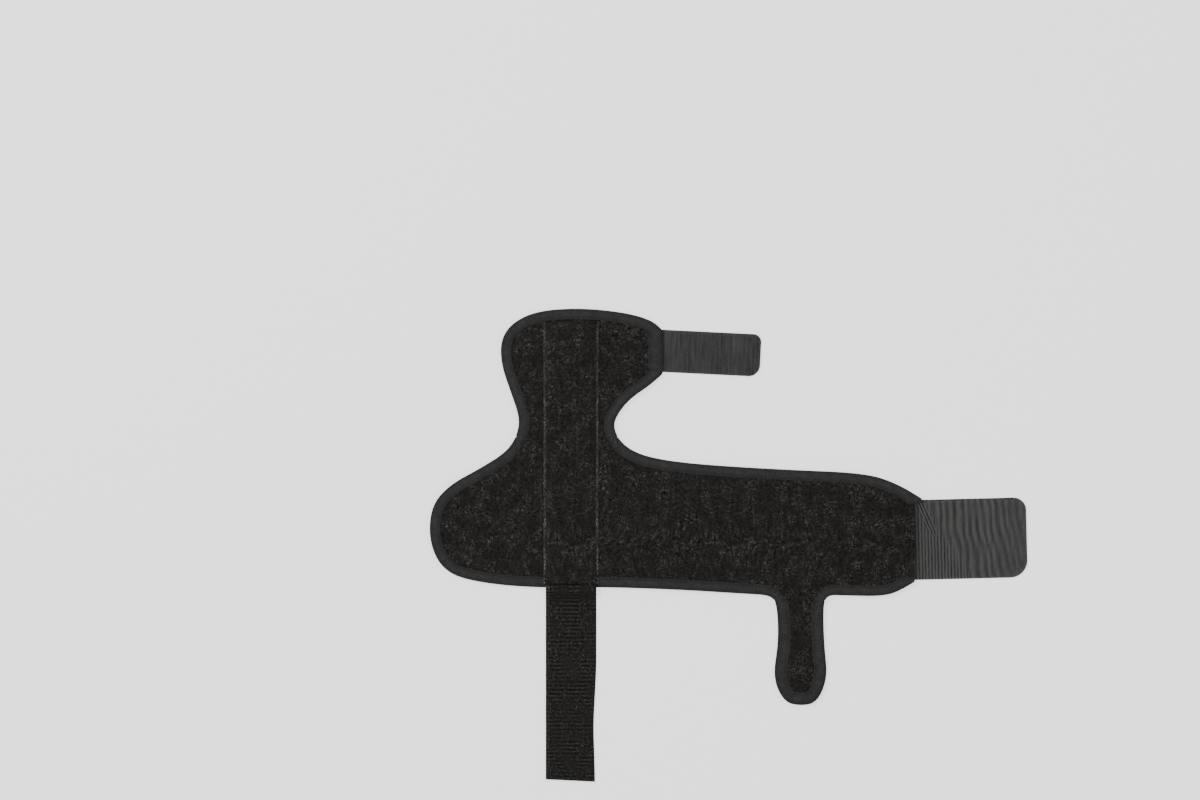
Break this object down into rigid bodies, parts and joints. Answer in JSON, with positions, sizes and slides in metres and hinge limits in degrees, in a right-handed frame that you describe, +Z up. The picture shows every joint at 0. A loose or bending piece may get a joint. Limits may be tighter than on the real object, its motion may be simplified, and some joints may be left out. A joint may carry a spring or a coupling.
{
  "type": "wrist guard",
  "caption": "Wrap-on padded wrist guard, open and flat, with a hand lobe, long wing, thumb notch, pocketed splint, webbing strap, hook tabs and a tongue.",
  "frame": {"origin": "middle of the box round the whole guard, on the surface that it lies on", "axes": "+X along the wing towards the wrist tab, +Y from the wrist towards the hand lobe, +Z up out of the lining, the hand side"},
  "size_m": [0.4482, 0.3552, 0.0091],
  "materials": {
    "brushed_lining": "brushed pile, matt",
    "loop_cloth": "looped pile, matt",
    "neoprene_foam": "closed-cell foam, matt",
    "edge_binding": "fine ribbed knit tape with a faint sheen",
    "pocket_cloth": "brushed pile, matt",
    "sleeve_cloth": "plain woven, matt",
    "splint_metal": "rolled strip, deburred edges",
    "splint_cap": "moulded, matt",
    "strap_webbing": "ribbed narrow weave with a slight sheen",
    "hook_tape": "woven nylon tape",
    "hook_rows": "rows of small nylon hooks"
  },
  "bodies": {
    "core": {"core_loop_face": "loop_cloth", "core_foam": "neoprene_foam", "core_lining": "brushed_lining", "core_binding": "edge_binding", "splint_pocket": "pocket_cloth", "hand_tab_anchor": "hook_tape"},
    "flank": {"flank_loop_face": "loop_cloth", "flank_foam": "neoprene_foam", "flank_lining": "brushed_lining", "flank_binding": "edge_binding"},
    "wing_1": {"wing_1_loop_face": "loop_cloth", "wing_1_foam": "neoprene_foam", "wing_1_lining": "brushed_lining", "wing_1_binding": "edge_binding"},
    "wing_2": {"wing_2_loop_face": "loop_cloth", "wing_2_foam": "neoprene_foam", "wing_2_lining": "brushed_lining", "wing_2_binding": "edge_binding"},
    "wing_3": {"wing_3_loop_face": "loop_cloth", "wing_3_foam": "neoprene_foam", "wing_3_lining": "brushed_lining", "wing_3_binding": "edge_binding"},
    "wing_4": {"wing_4_loop_face": "loop_cloth", "wing_4_foam": "neoprene_foam", "wing_4_lining": "brushed_lining", "wing_4_binding": "edge_binding", "wrist_tab_anchor": "hook_tape"},
    "tongue": {"tongue_loop_face": "loop_cloth", "tongue_foam": "neoprene_foam", "tongue_lining": "brushed_lining", "tongue_binding": "edge_binding"},
    "splint": {"splint_stay": "splint_metal", "splint_cap_lower": "splint_cap", "splint_cap_upper": "splint_cap", "splint_sleeve": "sleeve_cloth", "strap_anchor": "strap_webbing"},
    "strap": {"webbing_strap": "strap_webbing"},
    "hand_tab": {"hand_tab_tape": "hook_tape", "hand_tab_hooks": "hook_rows"},
    "wrist_tab": {"wrist_tab_tape": "hook_tape", "wrist_tab_hooks": "hook_rows"}
  },
  "joints": [
    {"name": "flank_fold", "type": "hinge", "parent": "core", "child": "flank", "pos_m": [-0.15959, 0.02294, 0.0053], "axis": [0, 1, 0], "range_deg": [0, 75]},
    {"name": "wing_curl_1", "type": "hinge", "parent": "core", "child": "wing_1", "pos_m": [-0.08309, 0.01294, 0.0053], "axis": [0, -1, 0], "range_deg": [0, 52]},
    {"name": "wing_curl_2", "type": "hinge", "parent": "wing_1", "child": "wing_2", "pos_m": [-0.03309, 0.01294, 0.0053], "axis": [0, -1, 0], "range_deg": [0, 52]},
    {"name": "wing_curl_3", "type": "hinge", "parent": "wing_2", "child": "wing_3", "pos_m": [0.01691, 0.01294, 0.0053], "axis": [0, -1, 0], "range_deg": [0, 31.2]},
    {"name": "wing_curl_4", "type": "hinge", "parent": "wing_3", "child": "wing_4", "pos_m": [0.08192, 0.01294, 0.0053], "axis": [0, -1, 0], "range_deg": [0, 52]},
    {"name": "wrist_tab_fold", "type": "hinge", "parent": "wing_4", "child": "wrist_tab", "pos_m": [0.14011, 0.00414, 0.00365], "axis": [0, -1, 0], "range_deg": [0, 90]},
    {"name": "tongue_fold", "type": "hinge", "parent": "wing_3", "child": "tongue", "pos_m": [0.05391, -0.04066, 0.0053], "axis": [-1, 0, 0], "range_deg": [0, 170]},
    {"name": "hand_tab_fold", "type": "hinge", "parent": "core", "child": "hand_tab", "pos_m": [-0.04859, 0.14594, 0.00365], "axis": [0, -1, 0], "range_deg": [0, 170]},
    {"name": "splint_slide", "type": "slide", "parent": "core", "child": "splint", "axis": [0, -1, 0], "range_m": [0, 0.16]},
    {"name": "strap_fold", "type": "hinge", "parent": "splint", "child": "strap", "pos_m": [-0.11808, -0.04256, 0.0043], "axis": [-1, 0, 0], "range_deg": [0, 170]}
  ],
  "couplings": [
    {"joint": "wing_curl_2", "follows": "wing_curl_1", "ratio": 1},
    {"joint": "wing_curl_3", "follows": "wing_curl_1", "ratio": 0.6},
    {"joint": "wing_curl_4", "follows": "wing_curl_1", "ratio": 1}
  ]
}
